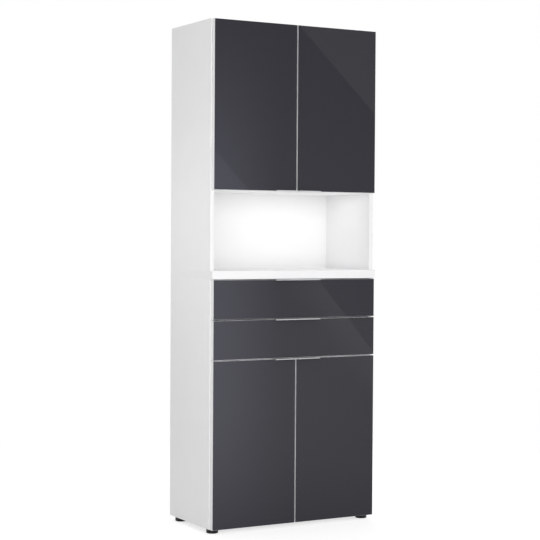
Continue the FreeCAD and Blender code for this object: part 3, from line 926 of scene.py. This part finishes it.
@dataclass
class PhotoCamera:
    """Camera of the photograph, solved from the cabinet's edges, in metres, radians and pixels."""

    place: tuple[float, float, float] = (-3.1960, -5.6676, 1.2448)
    yaw: float = math.radians(29.2507)
    pitch: float = math.radians(-1.3286)
    roll: float = math.radians(0.3437)
    focal_pixels: float = 1489.75
    image_pixels: int = 540
    sensor_mm: float = 36.0
    reach: float = 100.0

    def axes(self) -> tuple[Vector, Vector, Vector]:
        """Unit vectors to the camera's right, up and forward."""
        forward = Vector((math.sin(self.yaw) * math.cos(self.pitch),
                          math.cos(self.yaw) * math.cos(self.pitch), math.sin(self.pitch)))
        level_right = Vector((math.cos(self.yaw), -math.sin(self.yaw), 0))
        level_up = level_right.cross(forward)
        right = level_right * math.cos(self.roll) + level_up * math.sin(self.roll)
        up = level_up * math.cos(self.roll) - level_right * math.sin(self.roll)
        return right, up, forward

    def set_up(self) -> None:
        """Add the camera to the scene and look through it."""
        camera_data = bpy.data.cameras.new("photo_camera")
        camera_data.sensor_width = self.sensor_mm
        camera_data.lens = self.focal_pixels * self.sensor_mm / self.image_pixels
        camera_data.clip_end = self.reach
        camera = bpy.data.objects.new("photo_camera", camera_data)
        right, up, forward = self.axes()
        turn = Matrix((right, up, -forward)).transposed().to_4x4()
        camera.matrix_world = Matrix.Translation(Vector(self.place)) @ turn
        bpy.context.scene.collection.objects.link(camera)
        bpy.context.scene.camera = camera

    def mirrored_point(self, pixel: tuple[float, float], face: float, card: float) -> Vector:
        """Find where the camera sees a card's plane mirrored in the fronts.

        Args:
            pixel: Pixel of the photograph, from its top left corner.
            face: Y of the glass faces.
            card: Y of the card's plane.

        Returns:
            Point of the card's plane.
        """
        right, up, forward = self.axes()
        across, down = (distance - self.image_pixels / 2 for distance in pixel)
        ray = forward * self.focal_pixels + right * across - up * down
        eye = Vector(self.place)
        on_glass = eye + ray * ((face - eye.y) / ray.y)
        bounced = Vector((ray.x, -ray.y, ray.z))
        return on_glass + bounced * ((card - face) / bounced.y)


def seen_by(tree: NodeTree, kinds: tuple[str, ...]) -> NodeSocket:
    """Add nodes that tell some kinds of ray from all others.

    Args:
        tree: Tree that takes the nodes.
        kinds: Outputs of the Light Path node.

    Returns:
        Socket that is one for any of these rays.
    """
    path = add_node(tree, "ShaderNodeLightPath")
    socket = path.outputs[kinds[0]]
    for kind in kinds[1:]:
        socket = add_node(tree, "ShaderNodeMath", {"operation": "MAXIMUM"},
                          {0: socket, 1: path.outputs[kind]}).outputs[0]
    return socket


@dataclass(frozen=True)
class Card:
    """Card in front of the fronts, which only the polished glass mirrors."""

    name: str

    def glow(self, tree: NodeTree) -> NodeSocket:
        """Add the nodes of the card's light.

        Args:
            tree: Tree of its material.

        Returns:
            Socket of its shader.
        """
        raise NotImplementedError

    def hang(self, spots: list[Vector]) -> None:
        """Hang the card where its corners say.

        Args:
            spots: Its corners, in turn.
        """
        bpy.ops.mesh.primitive_plane_add()
        card = bpy.context.active_object
        card.name = self.name
        # Which of the card's corners each corner of the UV layout takes
        turn_at = {(0, 0): 0, (0, 1): 1, (1, 1): 2, (1, 0): 3}
        for loop in card.data.loops:
            u, v = card.data.uv_layers.active.data[loop.index].uv
            card.data.vertices[loop.vertex_index].co = spots[turn_at[round(u), round(v)]]
        material, tree = new_material(f"{self.name}_light")
        clear = add_node(tree, "ShaderNodeBsdfTransparent")
        mirrored = add_node(tree, "ShaderNodeMixShader", links={
            0: seen_by(tree, ("Is Singular Ray",)), 1: clear.outputs[0], 2: self.glow(tree)})
        finish_tree(tree, mirrored.outputs[0])
        dress(card, material)
        card.visible_camera = False
        card.visible_diffuse = False
        card.visible_transmission = False
        card.visible_shadow = False


@dataclass(frozen=True)
class DarkFlag(Card):
    """Dark card behind all others, with an even glow."""

    strength: float = 0.03

    def glow(self, tree: NodeTree) -> NodeSocket:
        """Add the even glow."""
        return add_node(tree, "ShaderNodeEmission", {"Strength": self.strength}).outputs[0]


@dataclass(frozen=True)
class SheenCard(Card):
    """Soft light card before the dark one, with what lies behind it shining through.

    Its corners are the pixels of the photograph where the glass shows it. It is bright near the
    edge between its first two corners and fades towards the other two, and its rims are soft.
    """

    corners: tuple[tuple[float, float], ...]
    bright: float
    dim: float = 0.0
    tint: str = "#FFFFFF"
    rise_share: float = 0.01
    fall_share: float = 0.01
    start_share: float = 0.01
    end_share: float = 0.01

    def glow(self, tree: NodeTree) -> NodeSocket:
        """Add the light that fades across and has soft rims."""
        layout = add_node(tree, "ShaderNodeUVMap").outputs[0]
        parts = add_node(tree, "ShaderNodeSeparateXYZ", links={"Vector": layout})
        # The fade across, then the four soft rims
        ramps = (
            ("X", {"From Min": self.rise_share, "To Min": self.bright, "To Max": self.dim}),
            ("X", {"From Max": self.rise_share}),
            ("X", {"From Min": 1 - self.fall_share, "To Min": 1.0, "To Max": 0.0}),
            ("Y", {"From Max": self.start_share}),
            ("Y", {"From Min": 1 - self.end_share, "To Min": 1.0, "To Max": 0.0}),
        )
        sockets = [add_node(tree, "ShaderNodeMapRange", {"interpolation_type": "SMOOTHSTEP", **settings},
                            {"Value": parts.outputs[way]}).outputs[0] for way, settings in ramps]
        strength = sockets[0]
        for socket in sockets[1:]:
            strength = add_node(tree, "ShaderNodeMath", {"operation": "MULTIPLY"},
                                {0: strength, 1: socket}).outputs[0]
        light = add_node(tree, "ShaderNodeEmission", {"Color": linear(self.tint)}, {"Strength": strength})
        clear = add_node(tree, "ShaderNodeBsdfTransparent")
        both = add_node(tree, "ShaderNodeAddShader", links={0: light.outputs[0], 1: clear.outputs[0]})
        return both.outputs[0]


@dataclass(frozen=True)
class SoftLamp:
    """Soft box that lights the cabinet, in metres and watts."""

    name: str
    place: tuple[float, float, float]
    target: tuple[float, float, float]
    size: tuple[float, float]
    power: float
    mirrored: bool = False

    def hang(self) -> None:
        """Add the lamp to the scene."""
        lamp_data = bpy.data.lights.new(self.name, "AREA")
        lamp_data.shape = "RECTANGLE"
        lamp_data.size, lamp_data.size_y = self.size
        lamp_data.energy = self.power
        lamp = bpy.data.objects.new(self.name, lamp_data)
        place = Vector(self.place)
        aim = (place - Vector(self.target)).to_track_quat("Z", "Y")
        lamp.matrix_world = Matrix.Translation(place) @ aim.to_matrix().to_4x4()
        lamp.visible_camera = False
        lamp.visible_glossy = self.mirrored
        bpy.context.scene.collection.objects.link(lamp)


# Key in front, one from the left, a broad and a narrow one at the side, three in the niche, one behind
LAMPS: tuple[SoftLamp, ...] = (
    SoftLamp("key_softbox", place=(-0.55, -4.4, 1.5), target=(0, 0, 1.1), size=(2.6, 2.6),
             power=71.0, mirrored=True),
    SoftLamp("left_softbox", place=(-2.6, -3.2, 1.4), target=(-0.3, -0.1, 1.1), size=(1.4, 1.8), power=20.0),
    SoftLamp("side_softbox", place=(-3.4, 0.6, 1.6), target=(-0.4, 0.1, 1.1), size=(1.6, 1.6), power=6.0),
    SoftLamp("side_glow", place=(-0.95, 0.02, 1.32), target=(-0.4, 0.02, 1.32), size=(0.3, 0.3), power=0.42),
    SoftLamp("niche_fill", place=(-0.02, -0.165, 1.36), target=(-0.02, 0.19, 1.4), size=(0.6, 0.1),
             power=0.12),
    SoftLamp("niche_strip", place=(0.1, 0.0, 1.424), target=(0.1, 0.0, 1.2), size=(0.5, 0.24), power=0.15),
    SoftLamp("niche_lift", place=(0.1, 0.0, 1.101), target=(0.1, 0.0, 1.3), size=(0.5, 0.24), power=0.08),
    SoftLamp("back_softbox", place=(2.4, 4.0, 2.6), target=(0, 0.2, 1.2), size=(2.6, 2.6), power=70.0),
)
# Sheens that the photograph shows on the glass, from the deepest card to the nearest
SHEENS: tuple[SheenCard, ...] = (
    SheenCard("left_glow", corners=((120, 620), (120, -30), (290, -30), (290, 620)), bright=0.8,
              rise_share=0.5, start_share=0.38, end_share=0.42, tint="#DDE3FF"),
    SheenCard("broad_glow", corners=((120, 620), (120, -30), (520, -30), (520, 620)), bright=0.38,
              rise_share=0.21, start_share=0.3, end_share=0.7),
    SheenCard("lower_glow", corners=((205, 620), (205, 321), (480, 314), (480, 620)), bright=0.08, dim=0.16,
              fall_share=0.33, start_share=0.6),
    SheenCard("upper_right_sheen", corners=((410, 156), (270, -8), (360, -102), (500, 62)), bright=0.24,
              dim=0.16, fall_share=0.45, start_share=0.2, end_share=0.15),
    SheenCard("drawer_sheen", corners=((425, 419), (272, 219), (224, 219), (370, 419)), bright=0.26,
              start_share=0.28, end_share=0.3),
    SheenCard("upper_left_sheen", corners=((253, 194), (199, 131), (146, 176), (200, 239)), bright=0.3,
              dim=0.2, fall_share=0.5, end_share=0.2, tint="#DDE3FF"),
)


@dataclass
class Studio:
    """Floor, light and camera around the cabinet."""

    camera: PhotoCamera = field(default_factory=PhotoCamera)
    floor_size: float = 40.0
    floor_colour: str = "#E6E6E6"
    seen_floor_colour: str = "#BEBEBE"
    seen_floor_lift: float = 0.67
    white_starts: float = 1.3
    white_ends: float = 2.8
    white: str = "#FFFFFF"
    bounce_strength: float = 0.575
    card_plane: float = -0.75
    card_step: float = 0.004
    flag_reach: float = 6.0

    def build(self) -> None:
        """Set up the whole studio."""
        self.camera.set_up()
        self.build_world()
        self.build_floor()
        for lamp in LAMPS:
            lamp.hang()
        self.hang_cards()
        bpy.context.scene.view_settings.view_transform = "Standard"

    def build_world(self) -> None:
        """White surroundings for the eye and for mirrors, and a plain level of soft light."""
        world = bpy.data.worlds.new("studio_white")
        world.use_nodes = True
        tree = world.node_tree
        tree.nodes.clear()
        seen = seen_by(tree, ("Is Camera Ray", "Is Glossy Ray", "Is Transmission Ray"))
        strength = add_node(tree, "ShaderNodeMapRange", {"To Min": self.bounce_strength, "To Max": 1.0},
                            {"Value": seen}).outputs[0]
        surroundings = add_node(tree, "ShaderNodeBackground", {"Color": linear(self.white)},
                                {"Strength": strength})
        add_node(tree, "ShaderNodeOutputWorld", links={"Surface": surroundings.outputs[0]})
        bpy.context.scene.world = world

    def build_floor(self) -> None:
        """Pale floor that shows as white, keeps the shadow and runs out into the white around it.

        The polished glass doesn't mirror it, because it mirrors the dark card there.
        """
        bpy.ops.mesh.primitive_plane_add(size=self.floor_size, location=(0, 0, 0))
        floor = bpy.context.active_object
        floor.name = "studio_floor"
        material, tree = new_material("pale_matt_floor")
        matt = add_node(tree, "ShaderNodeBsdfDiffuse", {"Color": linear(self.floor_colour)})
        seen_matt = add_node(tree, "ShaderNodeBsdfDiffuse", {"Color": linear(self.seen_floor_colour)})
        lift = add_node(tree, "ShaderNodeEmission", {"Strength": self.seen_floor_lift})
        lifted = add_node(tree, "ShaderNodeAddShader", links={0: seen_matt.outputs[0], 1: lift.outputs[0]})
        white = add_node(tree, "ShaderNodeEmission", {"Color": linear(self.white)})
        place = add_node(tree, "ShaderNodeTexCoord").outputs["Object"]
        distance = add_node(tree, "ShaderNodeVectorMath", {"operation": "LENGTH"}, {0: place})
        fade = add_node(tree, "ShaderNodeMapRange", {
            "interpolation_type": "SMOOTHSTEP", "From Min": self.white_starts, "From Max": self.white_ends},
            {"Value": distance.outputs["Value"]})
        shown = add_node(tree, "ShaderNodeMixShader", links={
            0: fade.outputs[0], 1: lifted.outputs[0], 2: white.outputs[0]})
        seen = seen_by(tree, ("Is Camera Ray", "Is Transmission Ray"))
        mixed = add_node(tree, "ShaderNodeMixShader", links={
            0: seen, 1: matt.outputs[0], 2: shown.outputs[0]})
        clear = add_node(tree, "ShaderNodeBsdfTransparent")
        unmirrored = add_node(tree, "ShaderNodeMixShader", links={
            0: seen_by(tree, ("Is Singular Ray",)), 1: mixed.outputs[0], 2: clear.outputs[0]})
        finish_tree(tree, unmirrored.outputs[0])
        dress(floor, material)

    def hang_cards(self) -> None:
        """Hang the dark card, and the sheens one after another in front of it."""
        glass_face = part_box("drawer_1_glass")[0].y
        reach = self.flag_reach
        ends = ((-reach, -reach), (-reach, reach), (reach, reach), (reach, -reach))
        DarkFlag("dark_flag").hang([Vector((across, self.card_plane, level)) for across, level in ends])
        for order, sheen in enumerate(SHEENS, start=1):
            plane = self.card_plane + order * self.card_step
            sheen.hang([self.camera.mirrored_point(pixel, glass_face, plane) for pixel in sheen.corners])


@dataclass
class StorageCabinet:
    """The whole cabinet, from its finishes to its smallest screws."""

    panels: tuple[SidePanel, ...] = tuple(SidePanel(tier, side) for tier in Tier for side in Side)
    doors: tuple[Door, ...] = tuple(Door(tier, side) for tier in Tier for side in Side)
    drawers: tuple[Drawer, ...] = (Drawer(1), Drawer(2))

    def build(self) -> None:
        """Dress the frame and set every small fitting."""
        finishes = Finishes()
        dress_frame(finishes)
        for panel in self.panels:
            panel.build(finishes)
        Glides().build(finishes)
        fastening = Fastening(finishes)
        for drawer in self.drawers:
            drawer.fit(fastening)
        for door in self.doors:
            door.fit(fastening)
        fastening.clear()


def main() -> None:
    """Build the cabinet and its studio."""
    logging.basicConfig(level=logging.INFO)
    StorageCabinet().build()
    Studio().build()


if __name__ == "__main__":
    main()
